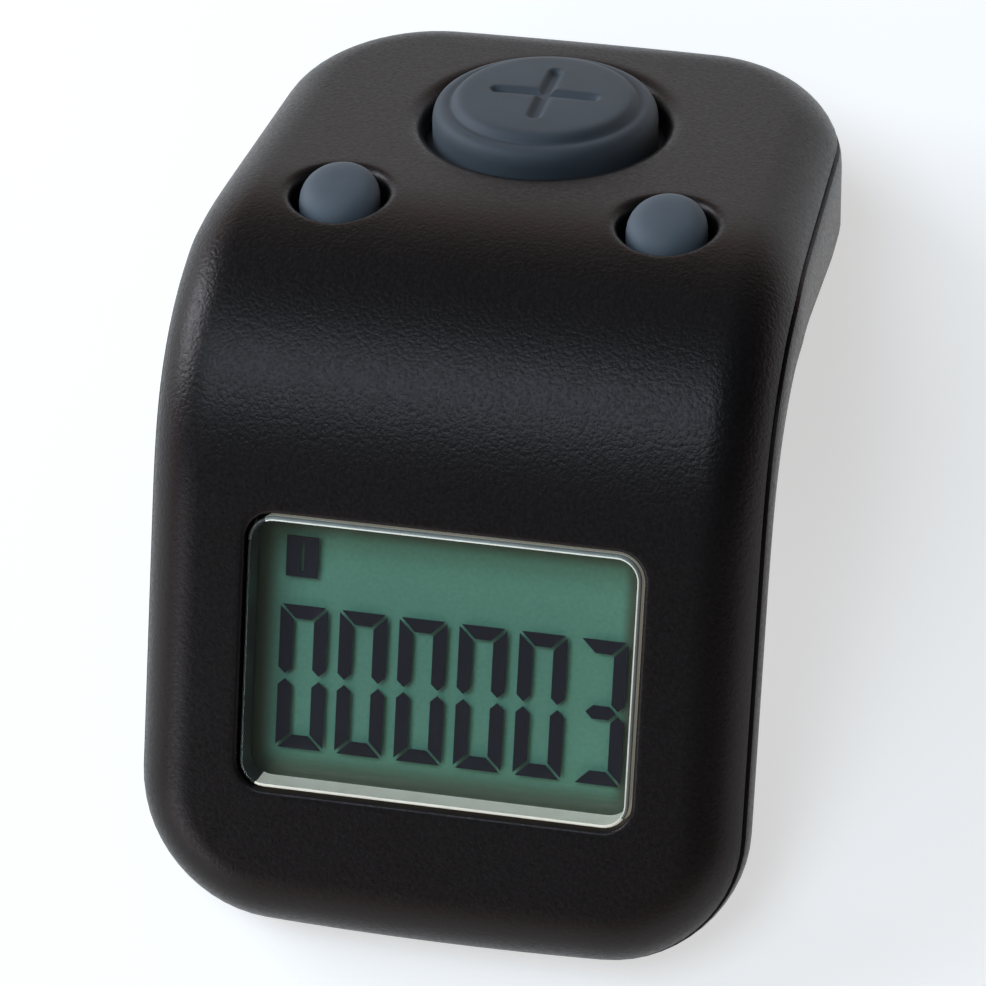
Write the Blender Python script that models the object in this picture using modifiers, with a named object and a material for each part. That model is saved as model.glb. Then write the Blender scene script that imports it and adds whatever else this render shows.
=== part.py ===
"""Finger-worn electronic tally counter: a bent two-part case with a display on its front leg and three keys.

The case is drawn as a flat blank and then bent. A point of the blank is (x, s, depth): x across the case,
s along its outer skin from rear to front, and depth below that skin. Lengths are in millimetres and become
metres when a mesh or a location is written. The flat top of the case is the plane z = 0 of the counter frame,
which is an empty that tilts the whole counter back until it stands on its rear edge and its front leg.
"""

import math

import bmesh
import bpy
import numpy as np
from mathutils import Matrix, Vector

MM = 0.001

# Case blank
BODY_WIDTH = 31.0
REAR_END = -23.8
FRONT_END = 36.7
REAR_CORNER = 8.1
FRONT_CORNER = 6.9
REAR_TAPER = 1.05  # how much narrower each side is at the rear end
REAR_BOW = 0.5  # how far the end edges bow out in the middle
FRONT_BOW = 0.6

# Bend of the outer skin: its curvature rises, holds and falls along s
BEND_START = -6.1
BEND_FULL = -1.0
BEND_EASE = 10.0
BEND_END = 17.0
BEND_CURVATURE = 0.076

# Sections of the two shells
EDGE_RADIUS = 3.2
PARTING_DEPTH = 2.15
PARTING_GAP = 0.3
TOP_WALL = 1.5
RIM_WALL = 1.3
BELLY_WALL = 1.2
BELLY_INSET = 4.2
BELLY_SHOULDER = 1.4
SIDE_DEPTHS = {-13.0: 6.5, 3.0: 4.3, 13.0: 3.5, 17.0: 3.3}
REAR_BELLY = 10.0
LEG_BELLY = 6.8
BELLY_STEP = (-3.5, 13.0)  # where the belly passes from one depth to the other

# Levels inside the rear half, below the flat top
KEY_FLANGE_TOP = -1.8
KEY_FLANGE_BOTTOM = -2.3
MAT_TOP = -3.8
MAT_BOTTOM = -4.3
MAT_WIDTH = 24.8  # the mat and the key board share their width, rear edge and corners
MAT_REAR = 20.6
MAT_CORNER = 5.4
BOARD_TOP = -4.6
BOARD_BOTTOM = -5.2
CONTACT_TOP = -5.4
CONTACT_BOTTOM = -5.55
CELL_TOP = -5.75
CELL_BOTTOM = -8.8
COVER_INSIDE = -9.05

# Keys
COUNT_KEY = Vector((0.0, 12.81))
COUNT_KEY_RADIUS = 5.76
COUNT_KEY_TOP = 1.43
COUNT_FLANGE_RADIUS = 6.6
COUNT_HOLE_RADIUS = 6.2
COUNT_HOLE_MOUTH = 7.1
SMALL_KEY_X = 8.31
SMALL_KEY_Y = 3.12
SMALL_KEY_RADIUS = 2.03
SMALL_HOLE_RADIUS = 2.42
SMALL_KEY_SLOPE = math.radians(16.5)
MARK_ARM = 5.5
MARK_WIDTH = 0.6
MARK_DEPTH = 0.3

# Display, in the display frame: x across, y up the leg, z out of its face
DISPLAY_STATION = 22.4
LENS_WIDTH = 19.69
LENS_HEIGHT = 13.94
LENS_CORNER = 1.2
WINDOW_GAP = 0.15
GLASS_WIDTH = 19.6

# Battery compartment
CELL_CENTRE = Vector((0.0, 11.6))
CELL_RADIUS = 5.8
COVER_RADIUS = 7.2
COVER_HOLE_RADIUS = 7.5
LUG_REACH = 8.1
LUG_ROOT = 6.55
LUG_WIDTH = 2.8
COIN_SLOT = (9.0, 1.4, 1.0)
COVER_TWIST = math.radians(40.0)

# Screws
REAR_SCREW = Vector((9.6, 18.6))
LEG_SCREW = Vector((11.4, -8.8))
REAR_BOSS_RADIUS = 1.9
LEG_BOSS_RADIUS = 1.4
BOSS_ROOT = -1.2  # inside the upper shell's wall, where a boss grows from
REAR_BOSS_END = -5.7
LEG_BOSS_END = -4.35
REAR_HOLE_RADIUS = 1.05
LEG_HOLE_RADIUS = 0.95
REAR_PILOT_TOP = -2.4
LEG_PILOT_TOP = -2.2
REAR_COLUMN = (2.2, -9.4, -6.0)  # radius and its two levels
LEG_COLUMN = (1.7, -6.1, -4.65)
REAR_COUNTERBORE = (1.7, -12.0, -7.4)
LEG_COUNTERBORE = (1.55, -9.0, -5.8)

# Standing pose of the counter frame
REST_TILT = math.radians(35.97)
REST_SHIFT = Vector((0.0, 6.112, 20.368))

CLEARANCE = 0.3
ROUND_SEGMENTS = 40


# ---------------------------------------------------------------- scene and materials

def clear_scene():
    for thing in list(bpy.data.objects):
        bpy.data.objects.remove(thing, do_unlink=True)


def new_collection(name):
    collection = bpy.data.collections.new(name)
    bpy.context.scene.collection.children.link(collection)
    return collection


def material(name, colour, roughness, metallic=0.0):
    result = bpy.data.materials.new(name)
    result.use_nodes = True
    shader = result.node_tree.nodes["Principled BSDF"]
    shader.inputs["Base Color"].default_value = (*colour, 1.0)
    shader.inputs["Roughness"].default_value = roughness
    shader.inputs["Metallic"].default_value = metallic
    return result


clear_scene()
PARTS = new_collection("tally_counter")
CUTTERS = new_collection("cutters")

CASE_PLASTIC = material("case_plastic", (0.012, 0.012, 0.014), 0.45)
SILICONE = material("key_silicone", (0.095, 0.11, 0.125), 0.6)
LENS_PLASTIC = material("lens_plastic", (0.75, 0.8, 0.78), 0.05)
LCD_GLASS = material("lcd_glass", (0.45, 0.55, 0.48), 0.1)
REFLECTOR_FILM = material("reflector_film", (0.32, 0.42, 0.34), 0.4)
BOARD_LAMINATE = material("board_laminate", (0.02, 0.12, 0.05), 0.5)
CARBON = material("contact_carbon", (0.01, 0.01, 0.01), 0.8)
EPOXY = material("chip_epoxy", (0.008, 0.008, 0.009), 0.3)
CERAMIC = material("chip_ceramic", (0.25, 0.2, 0.14), 0.5)
ZEBRA_RUBBER = material("zebra_rubber", (0.5, 0.12, 0.1), 0.7)
FLEX_FILM = material("flex_film", (0.35, 0.16, 0.03), 0.4)
STEEL = material("cell_steel", (0.6, 0.6, 0.6), 0.3, 1.0)
SPRING_METAL = material("contact_metal", (0.7, 0.62, 0.45), 0.3, 1.0)
SCREW_STEEL = material("screw_steel", (0.3, 0.3, 0.31), 0.35, 1.0)


# ---------------------------------------------------------------- the bent skin

def running_total(values, step):
    return np.concatenate([[0.0], np.cumsum((values[1:] + values[:-1]) / 2) * step])


def skin_table():
    """Tabulate the skin's slope, y and z against s; the flat top lies at z = 0 and s = 0 at y = 0."""
    s = np.linspace(REAR_END - 2.0, FRONT_END + 2.0, 2001)
    step = s[1] - s[0]
    bend = [BEND_START, BEND_FULL, BEND_EASE, BEND_END]
    curvature = np.interp(s, bend, [0.0, BEND_CURVATURE, BEND_CURVATURE, 0.0])
    slope = running_total(curvature, step)
    y = -running_total(np.cos(slope), step)
    z = -running_total(np.sin(slope), step)
    return s, slope, y - np.interp(0.0, s, y), z


SKIN_S, SKIN_SLOPE, SKIN_Y, SKIN_Z = skin_table()


def bent(x, s, depth):
    """Place a point of the blank on the bent case."""
    slope = np.interp(s, SKIN_S, SKIN_SLOPE)
    y = np.interp(s, SKIN_S, SKIN_Y) + depth * math.sin(slope)
    z = np.interp(s, SKIN_S, SKIN_Z) - depth * math.cos(slope)
    return Vector((x, y, z))


def smooth_step(value, low, high):
    t = min(max((value - low) / (high - low), 0.0), 1.0)
    return t * t * (3.0 - 2.0 * t)


def side_depth(s):
    """Depth of the lower edge of the case's side wall."""
    return float(np.interp(s, list(SIDE_DEPTHS), list(SIDE_DEPTHS.values())))


def belly_depth(s):
    """Depth of the underside along the middle: deep over the battery, thinner down the leg."""
    return REAR_BELLY - (REAR_BELLY - LEG_BELLY) * smooth_step(s, *BELLY_STEP)


def arc(centre, radius, start, end, steps):
    angles = np.radians(np.linspace(start, end, steps + 1))
    return [(centre[0] + radius * math.cos(a), centre[1] + radius * math.sin(a)) for a in angles]


def outline(inset):
    """Blank outline drawn in by an inset: the right half from rear to front, then the left half back."""
    half = BODY_WIDTH / 2 - inset
    rear, front = REAR_END + inset, FRONT_END - inset
    rear_r, front_r = REAR_CORNER - inset, FRONT_CORNER - inset
    rear_flat, front_flat = half - rear_r, half - front_r
    points = [(0.0, rear), (rear_flat / 2, rear)]
    points += arc((rear_flat, rear + rear_r), rear_r, -90, 0, 6)
    points += [(half, s) for s in np.linspace(REAR_END + REAR_CORNER + 2.2, FRONT_END - FRONT_CORNER - 1.0, 19)]
    points += arc((front_flat, front - front_r), front_r, 0, 90, 6)
    points += [(front_flat / 2, front), (0.0, front)]
    shaped = [shape_outline(x, s) for x, s in points]
    return shaped + [(-x, s) for x, s in reversed(shaped[1:-1])]


def shape_outline(x, s):
    """Taper the blank towards the rear and bow its two end edges."""
    side = x / (BODY_WIDTH / 2)
    middle = (REAR_END + FRONT_END) / 2
    if s < 0.0:
        x *= 1.0 - REAR_TAPER / (BODY_WIDTH / 2) * s / REAR_END
    if s < middle:
        return x, s - REAR_BOW * (1 - side * side) * ((middle - s) / (middle - REAR_END)) ** 2
    return x, s + FRONT_BOW * (1 - side * side) * ((s - middle) / (FRONT_END - middle)) ** 2


def ring(inset, depth):
    """One closed loop of the shell; depth is a number or a function of s."""
    points = []
    for x, s in outline(inset):
        points.append(bent(x, s, depth(s) if callable(depth) else depth))
    return points


def edge_ring(depth):
    """The loop where the rounded outer edge reaches a depth."""
    rise = EDGE_RADIUS - depth
    return ring(EDGE_RADIUS - math.sqrt(EDGE_RADIUS ** 2 - rise ** 2), depth)


# ---------------------------------------------------------------- building tools

def frame_empty(name, parent=None, location=(0.0, 0.0, 0.0), turn=0.0):
    empty = bpy.data.objects.new(name, None)
    PARTS.objects.link(empty)
    empty.parent = parent
    empty.location = Vector(location) * MM
    empty.rotation_euler = (turn, 0.0, 0.0)
    return empty


COUNTER_FRAME = frame_empty("counter_frame", None, REST_SHIFT, -REST_TILT)
LEG_SLOPE = float(np.interp(DISPLAY_STATION, SKIN_S, SKIN_SLOPE))
DISPLAY_FRAME = frame_empty("display_frame", COUNTER_FRAME, bent(0.0, DISPLAY_STATION, 0.0), LEG_SLOPE)


def add_object(name, mesh, look, place=(0.0, 0.0, 0.0), frame=COUNTER_FRAME):
    """Link a mesh as a part, or as a cutter when it has no material."""
    thing = bpy.data.objects.new(name, mesh)
    thing.parent = frame
    thing.location = Vector(place) * MM
    if look is None:
        thing.display_type = "WIRE"
        thing.hide_render = True
        CUTTERS.objects.link(thing)
    else:
        mesh.materials.append(look)
        PARTS.objects.link(thing)
    return thing


def mesh_from(name, shape, smooth=False):
    mesh = bpy.data.meshes.new(name)
    bmesh.ops.recalc_face_normals(shape, faces=shape.faces)
    shape.to_mesh(mesh)
    shape.free()
    if smooth:
        mesh.shade_smooth()
        mesh.set_sharp_from_angle(angle=math.radians(35))
    return mesh


def cap_loop(shape, loop):
    """Close a loop with strips that run straight across the case, so that each one is flat."""
    count = len(loop)
    for i in range(count // 2):
        corners = [loop[i], loop[i + 1], loop[count - i - 1], loop[(count - i) % count]]
        shape.faces.new(list(dict.fromkeys(corners)))


def lofted(name, rings, look):
    """A closed solid through a list of loops, capped at its first and its last."""
    shape = bmesh.new()
    loops = [[shape.verts.new(point * MM) for point in points] for points in rings]
    for lower, upper in zip(loops, loops[1:]):
        for i in range(len(lower)):
            j = (i + 1) % len(lower)
            shape.faces.new((lower[i], lower[j], upper[j], upper[i]))
    cap_loop(shape, loops[0])
    cap_loop(shape, loops[-1])
    return add_object(name, mesh_from(name, shape, smooth=True), look)


def slab(name, size, look, place, frame=COUNTER_FRAME, corner=0.0, steps=4):
    """A flat block centred on place, with its upright edges rounded."""
    shape = bmesh.new()
    bmesh.ops.create_cube(shape, size=1.0)
    bmesh.ops.scale(shape, vec=Vector(size) * MM, verts=shape.verts)
    if corner:
        upright = [edge for edge in shape.edges if abs(edge.verts[0].co.z - edge.verts[1].co.z) > size[2] * MM / 2]
        bmesh.ops.bevel(shape, geom=upright, offset=corner * MM, segments=steps, profile=0.5, affect="EDGES")
    return add_object(name, mesh_from(name, shape), look, place, frame)


def rod(name, radius, low, high, look, centre, frame=COUNTER_FRAME, segments=24):
    """An upright cylinder between two levels."""
    shape = bmesh.new()
    bmesh.ops.create_cone(shape, cap_ends=True, segments=segments, radius1=radius * MM, radius2=radius * MM,
                          depth=(high - low) * MM)
    return add_object(name, mesh_from(name, shape, smooth=True), look, (*centre, (low + high) / 2), frame)


def turned(name, profile, look, centre, frame=COUNTER_FRAME, closed=False, segments=ROUND_SEGMENTS):
    """A profile of (radius, level) points turned about the upright axis through centre."""
    mesh = bpy.data.meshes.new(name)
    count = len(profile)
    edges = [(i, i + 1) for i in range(count - 1)] + ([(count - 1, 0)] if closed else [])
    mesh.from_pydata([(r * MM, 0.0, z * MM) for r, z in profile], edges, [])
    thing = add_object(name, mesh, look, (*centre, 0.0), frame)
    screw = thing.modifiers.new("turn", "SCREW")
    screw.steps = segments
    screw.render_steps = segments
    screw.use_merge_vertices = True
    screw.merge_threshold = 0.00001
    screw.use_smooth_shade = True
    return thing


def ribbon(name, path, width, thickness, look):
    """A strip that follows a path of (y, z) points, with its width across the case."""
    shape = bmesh.new()
    rows = [[shape.verts.new((side * width / 2 * MM, y * MM, z * MM)) for side in (-1, 1)] for y, z in path]
    for first, second in zip(rows, rows[1:]):
        shape.faces.new((first[0], first[1], second[1], second[0]))
    thing = add_object(name, mesh_from(name, shape), look)
    thicken = thing.modifiers.new("thickness", "SOLIDIFY")
    thicken.thickness = thickness * MM
    thicken.offset = 0.0
    thicken.use_even_offset = True
    return thing


def combine(target, other, operation):
    step = target.modifiers.new(f"{operation.lower()}_{other.name}", "BOOLEAN")
    step.operation = operation
    step.solver = "EXACT"
    step.object = other


def cut(target, *cutters):
    for cutter in cutters:
        combine(target, cutter, "DIFFERENCE")


def join(target, *additions):
    for addition in additions:
        combine(target, addition, "UNION")


def both_sides(point):
    return [("right", Vector((point.x, point.y))), ("left", Vector((-point.x, point.y)))]


# ---------------------------------------------------------------- case

def shell_rims():
    """Depths of the two facing rims, half the parting gap above and below the parting line."""
    return PARTING_DEPTH - PARTING_GAP / 2, PARTING_DEPTH + PARTING_GAP / 2


def make_upper_shell():
    rim, _ = shell_rims()
    inner_radius = EDGE_RADIUS - TOP_WALL
    rings = [ring(EDGE_RADIUS, 0.0)]
    rings += [edge_ring(depth) for depth in (0.25, 0.9, rim)]
    for angle in np.radians([45.0, 22.0, 0.0]):
        inset = EDGE_RADIUS - inner_radius * math.sin(angle)
        rings.append(ring(inset, TOP_WALL + inner_radius * (1 - math.cos(angle))))
    shell = lofted("upper_shell", rings, CASE_PLASTIC)
    for side, centre in both_sides(REAR_SCREW):
        boss = rod(f"rear_boss_{side}", REAR_BOSS_RADIUS, REAR_BOSS_END, BOSS_ROOT, None, centre)
        pilot = rod(f"rear_pilot_{side}", REAR_HOLE_RADIUS, -8.0, REAR_PILOT_TOP, None, centre)
        join(shell, boss)
        cut(shell, pilot)
    for side, centre in both_sides(LEG_SCREW):
        boss = rod(f"leg_boss_{side}", LEG_BOSS_RADIUS, LEG_BOSS_END, BOSS_ROOT, None, centre, DISPLAY_FRAME)
        pilot = rod(f"leg_pilot_{side}", LEG_HOLE_RADIUS, -8.0, LEG_PILOT_TOP, None, centre, DISPLAY_FRAME)
        join(shell, boss)
        cut(shell, pilot)
    mouth = COUNT_HOLE_MOUTH - COUNT_HOLE_RADIUS
    hole_profile = [(0.0, 0.5), (COUNT_HOLE_MOUTH + 0.5, 0.5), (COUNT_HOLE_RADIUS, -mouth),
                    (COUNT_HOLE_RADIUS, -3.0), (0.0, -3.0)]
    cut(shell, turned("count_key_hole", hole_profile, None, COUNT_KEY))
    for side, x in (("right", SMALL_KEY_X), ("left", -SMALL_KEY_X)):
        cut(shell, rod(f"small_key_hole_{side}", SMALL_HOLE_RADIUS, -4.0, 2.0, None, (x, SMALL_KEY_Y), segments=28))
    window = (LENS_WIDTH + 2 * WINDOW_GAP, LENS_HEIGHT + 2 * WINDOW_GAP, 4.0)
    cut(shell, slab("display_window", window, None, (0, 0, -1.0), DISPLAY_FRAME, LENS_CORNER + WINDOW_GAP))
    return shell


def belly_rings(start_inset, shoulder_inset, lift):
    """Loops from the side wall's lower edge to the belly, along a quadratic curve."""
    loops = []
    for t in (0.0, 0.3, 0.6, 1.0):
        inset = (1 - t) ** 2 * start_inset + 2 * t * (1 - t) * shoulder_inset + t * t * BELLY_INSET

        def depth(s, t=t):
            edge = side_depth(s) - lift * 0.25
            belly = belly_depth(s) - lift
            return (1 - t) ** 2 * edge + 2 * t * (1 - t) * (belly - 0.5) + t * t * belly

        loops.append(ring(inset, depth))
    return loops


def make_lower_shell():
    _, rim = shell_rims()
    outside = [edge_ring(rim), ring(0.0, EDGE_RADIUS)] + belly_rings(0.0, BELLY_SHOULDER, 0.0)
    inside = [ring(RIM_WALL, rim)] + belly_rings(RIM_WALL, BELLY_SHOULDER + 1.1, BELLY_WALL)
    shell = lofted("lower_shell", outside[::-1] + inside, CASE_PLASTIC)
    for side, centre in both_sides(REAR_SCREW):
        join(shell, rod(f"rear_column_{side}", *REAR_COLUMN, None, centre))
        cut(shell, rod(f"rear_screw_hole_{side}", REAR_HOLE_RADIUS, -12.0, -5.0, None, centre),
            rod(f"rear_counterbore_{side}", *REAR_COUNTERBORE, None, centre))
    for side, centre in both_sides(LEG_SCREW):
        join(shell, rod(f"leg_column_{side}", *LEG_COLUMN, None, centre, DISPLAY_FRAME))
        cut(shell, rod(f"leg_screw_hole_{side}", LEG_HOLE_RADIUS, -9.0, -4.0, None, centre, DISPLAY_FRAME),
            rod(f"leg_counterbore_{side}", *LEG_COUNTERBORE, None, centre, DISPLAY_FRAME))
    cut(shell, rod("battery_opening", COVER_HOLE_RADIUS, -12.0, -8.0, None, CELL_CENTRE, segments=48))
    for side, turn in (("front", COVER_TWIST), ("back", COVER_TWIST + math.pi)):
        reach = Matrix.Rotation(turn, 2) @ Vector((COVER_HOLE_RADIUS + 0.2, 0.0))
        notch = slab(f"lug_notch_{side}", (1.8, 3.6, 4.0), None, (*(CELL_CENTRE + reach), -10.0))
        notch.rotation_euler = (0.0, 0.0, turn)
        cut(shell, notch)
    return shell


# ---------------------------------------------------------------- keys

def make_count_button():
    profile = [(0.0, COUNT_KEY_TOP), (2.5, 1.41), (4.15, 1.34), (4.52, 1.22), (4.7, 0.98), (4.83, 0.86), (5.0, 0.88),
               (5.2, 0.88), (5.45, 0.78), (5.65, 0.53), (COUNT_KEY_RADIUS, 0.1), (COUNT_KEY_RADIUS, KEY_FLANGE_TOP),
               (COUNT_FLANGE_RADIUS, KEY_FLANGE_TOP), (COUNT_FLANGE_RADIUS, KEY_FLANGE_BOTTOM),
               (3.2, KEY_FLANGE_BOTTOM), (3.2, -2.9), (0.0, -2.9)]
    button = turned("count_button", profile, SILICONE, COUNT_KEY)
    for name, size in (("mark_bar", (MARK_ARM, MARK_WIDTH, 1.0)), ("mark_post", (MARK_WIDTH, MARK_ARM, 1.0))):
        cut(button, slab(name, size, None, (*COUNT_KEY, COUNT_KEY_TOP - MARK_DEPTH + 0.5)))
    turned("count_button_web", [(5.55, -2.6), (5.9, -2.6), (6.7, -3.5), (6.35, -3.5)], SILICONE, COUNT_KEY,
           closed=True, segments=32)
    rod("count_contact_pill", 2.2, -3.5, -3.2, CARBON, COUNT_KEY)


def slope_top(thing, tangent, start, end):
    """Tilt the top of a turned key towards the front, fading out below the case's skin."""
    graph = bpy.context.evaluated_depsgraph_get()
    mesh = bpy.data.meshes.new_from_object(thing.evaluated_get(graph), depsgraph=graph)
    for vertex in mesh.vertices:
        vertex.co.z += vertex.co.y * tangent * smooth_step(vertex.co.z / MM, start, end)
    thing.modifiers.clear()
    thing.data = mesh


def make_small_button(name, x):
    centre = (x, SMALL_KEY_Y)
    radius = SMALL_KEY_RADIUS
    profile = [(0.0, 0.47), (0.9, 0.42), (1.45, 0.3), (1.82, 0.05), (radius, -0.3), (radius, -1.2),
               (radius, -2.4), (2.85, -2.4), (2.85, -2.8), (1.3, -2.8), (1.3, -3.1), (0.0, -3.1)]
    button = turned(name, profile, SILICONE, centre, segments=28)
    slope_top(button, math.tan(SMALL_KEY_SLOPE), -1.3, -0.3)
    turned(f"{name}_web", [(2.35, -3.05), (2.65, -3.05), (3.1, -3.55), (2.8, -3.55)], SILICONE, centre,
           closed=True, segments=24)
    stem = name.replace("_button", "")
    rod(f"{stem}_contact_pill", 1.1, -3.7, -3.4, CARBON, centre, segments=20)


def make_keypad_mat():
    low, high = -1.0, MAT_REAR
    size = (MAT_WIDTH, high - low, MAT_TOP - MAT_BOTTOM)
    mat = slab("keypad_mat", size, SILICONE, (0.0, (low + high) / 2, (MAT_TOP + MAT_BOTTOM) / 2),
               corner=MAT_CORNER)
    cut(mat, rod("mat_count_hole", 5.4, -6.0, -3.0, None, COUNT_KEY))
    for side, x in (("right", SMALL_KEY_X), ("left", -SMALL_KEY_X)):
        cut(mat, rod(f"mat_small_hole_{side}", 2.3, -6.0, -3.0, None, (x, SMALL_KEY_Y), segments=20))
    cut_boss_holes(mat, "mat")


def cut_boss_holes(sheet, label):
    """Let a sheet pass the two rear bosses, which locate it."""
    for side, centre in both_sides(REAR_SCREW):
        hole = rod(f"{label}_boss_hole_{side}", REAR_BOSS_RADIUS + CLEARANCE, -8.0, -2.0, None, centre, segments=20)
        cut(sheet, hole)


# ---------------------------------------------------------------- electronics of the rear half

def make_key_board():
    low, high = 1.0, MAT_REAR
    level = (BOARD_TOP + BOARD_BOTTOM) / 2
    size = (MAT_WIDTH, high - low, BOARD_TOP - BOARD_BOTTOM)
    board = slab("key_board", size, BOARD_LAMINATE, (0.0, (low + high) / 2, level), corner=MAT_CORNER)
    cut_boss_holes(board, "board")
    under = BOARD_BOTTOM - 0.2
    turned("controller_chip", [(0.0, under - 0.85), (1.2, under - 0.75), (2.1, under - 0.35), (2.3, under),
                               (0.0, under)][::-1], EPOXY, (9.6, 7.4), segments=24)
    slab("decoupling_capacitor", (0.8, 1.6, 0.8), CERAMIC, (-9.8, 9.4, under - 0.4))
    slab("oscillator_resistor", (0.8, 1.6, 0.45), CERAMIC, (-9.8, 6.4, under - 0.225))


def make_battery():
    shoulder = [(0.0, CELL_TOP), (4.6, CELL_TOP), (4.7, CELL_TOP - 0.3), (5.2, CELL_TOP - 0.35),
                (CELL_RADIUS, CELL_TOP - 0.8), (CELL_RADIUS, CELL_BOTTOM + 0.3),
                (CELL_RADIUS - 0.3, CELL_BOTTOM), (0.0, CELL_BOTTOM)]
    turned("battery_cell", shoulder, STEEL, CELL_CENTRE)
    level = (CONTACT_TOP + CONTACT_BOTTOM) / 2
    slab("battery_contact_negative", (8.4, 3.2, CONTACT_TOP - CONTACT_BOTTOM), SPRING_METAL,
         (*CELL_CENTRE, level), corner=1.2)
    edge = CELL_CENTRE.y + CELL_RADIUS + CLEARANCE
    ribbon("battery_contact_positive", [(edge + 2.4, level), (edge + 0.4, level), (edge + 0.1, level - 0.3),
                                        (edge + 0.1, -7.5)], 3.6, CONTACT_TOP - CONTACT_BOTTOM, SPRING_METAL)


def make_battery_cover():
    rim_in, rim_out, rim_top = 6.2, 6.9, -8.0
    profile = [(0.0, COVER_INSIDE), (rim_in, COVER_INSIDE), (rim_in, rim_top), (rim_out, rim_top),
               (rim_out, COVER_INSIDE), (COVER_RADIUS, COVER_INSIDE), (COVER_RADIUS, -REAR_BELLY + 0.15),
               (COVER_RADIUS - 0.15, -REAR_BELLY), (0.0, -REAR_BELLY)]
    cover = turned("battery_cover", profile, CASE_PLASTIC, CELL_CENTRE, segments=48)
    lug_middle = (LUG_ROOT + LUG_REACH) / 2
    for side, x in (("right", lug_middle), ("left", -lug_middle)):
        size = (LUG_REACH - LUG_ROOT, LUG_WIDTH, 0.55)
        join(cover, slab(f"cover_lug_{side}", size, None, (x, CELL_CENTRE.y, -8.3)))
    cut(cover, slab("coin_slot", COIN_SLOT, None, (*CELL_CENTRE, -REAR_BELLY), corner=0.6))


# ---------------------------------------------------------------- display in the front leg

def make_display():
    """Lens, liquid-crystal cell, its rubber connector and its board, stacked inwards from the leg's face."""
    frame = DISPLAY_FRAME
    lens = slab("display_lens", (LENS_WIDTH, LENS_HEIGHT, 1.9), LENS_PLASTIC, (0, 0, -1.0), frame, LENS_CORNER)
    join(lens, slab("lens_flange", (GLASS_WIDTH, 15.6, 0.4), None, (0, 0, -1.97), frame, 0.6))
    slab("lcd_front_polariser", (GLASS_WIDTH, 15.4, 0.15), LCD_GLASS, (0, 0, -2.5), frame)
    slab("lcd_front_glass", (GLASS_WIDTH, 17.2, 0.55), LCD_GLASS, (0, -0.8, -3.1), frame)
    slab("lcd_rear_glass", (GLASS_WIDTH, 15.2, 0.55), LCD_GLASS, (0, 0.2, -3.9), frame)
    slab("lcd_reflector", (GLASS_WIDTH, 15.2, 0.15), REFLECTOR_FILM, (0, 0.2, -4.5), frame)
    slab("zebra_strip", (17.0, 1.3, 0.85), ZEBRA_RUBBER, (0, -8.6, -4.1), frame)
    slab("display_board", (18.4, 17.8, 0.6), BOARD_LAMINATE, (0, -1.2, -5.1), frame)


def smooth_path(knots, steps):
    """Points of a Catmull-Rom curve through the knots."""
    ends = [2 * knots[0] - knots[1], *knots, 2 * knots[-1] - knots[-2]]
    points = []
    for before, start, end, after in zip(ends, ends[1:], ends[2:], ends[3:]):
        for t in np.linspace(0.0, 1.0, steps, endpoint=False):
            slope = (end - before) * t
            curve = (2 * before - 5 * start + 4 * end - after) * t ** 2
            twist = (3 * start - before - 3 * end + after) * t ** 3
            points.append(start + (slope + curve + twist) / 2)
    return points + [knots[-1]]


def make_flex_cable():
    """Flat cable from the key board's front edge, under the mat and through the bend, to the display board."""
    level = (BOARD_TOP + BOARD_BOTTOM) / 2
    knots = [Vector((0.6, level)), Vector((-1.4, level))]
    for s, depth in ((5.5, 2.9), (8.2, 2.6), (11.0, 3.1), (13.0, 4.3), (14.2, 5.1)):
        point = bent(0.0, s, depth)
        knots.append(Vector((point.y, point.z)))
    ribbon("flex_cable", smooth_path(knots, 4), 8.0, 0.2, FLEX_FILM)


# ---------------------------------------------------------------- screws

def make_screw(name, centre, frame, head, shank, tip):
    """A pan-head screw that points up; head and shank are (radius, lower level)."""
    head_radius, head_bottom = head
    shank_radius, seat = shank
    profile = [(0.0, tip), (shank_radius * 0.5, tip - 0.15), (shank_radius, tip - 0.6), (shank_radius, seat),
               (head_radius, seat), (head_radius, head_bottom + 0.2), (head_radius - 0.2, head_bottom),
               (0.0, head_bottom)]
    screw = turned(name, profile, SCREW_STEEL, centre, frame, segments=20)
    for turn, label in ((0.0, "across"), (math.pi / 2, "along")):
        slot = slab(f"{name}_drive_{label}", (head_radius * 1.2, 0.3, 0.7), None, (*centre, head_bottom), frame)
        slot.rotation_euler = (0.0, 0.0, turn)
        cut(screw, slot)


def make_screws():
    for side, centre in both_sides(REAR_SCREW):
        make_screw(f"rear_screw_{side}", centre, COUNTER_FRAME, (1.35, -8.5), (0.75, -7.7), -3.0)
    for side, centre in both_sides(LEG_SCREW):
        make_screw(f"leg_screw_{side}", centre, DISPLAY_FRAME, (1.2, -6.7), (0.65, -6.05), -2.6)


make_upper_shell()
make_lower_shell()
make_count_button()
make_small_button("reset_button", SMALL_KEY_X)
make_small_button("channel_button", -SMALL_KEY_X)
make_keypad_mat()
make_key_board()
make_battery()
make_battery_cover()
make_display()
make_flex_cable()
make_screws()
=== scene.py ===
"""Looks for the finger-worn tally counter: bent case, silicone keys, display window, studio and camera.

Shapes are drawn in the counter frame in millimetres, as in the part's own source: the flat top of the case
is the plane z = 0, x runs across the case, and the whole frame leans back until the counter stands on its two
edges. A point of the case's blank is (x, s, depth): s runs along the outer skin from rear to front, and depth
lies below it.
"""

import math

import bmesh
import bpy
import numpy as np
from mathutils import Matrix, Vector
from mathutils.geometry import delaunay_2d_cdt


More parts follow.
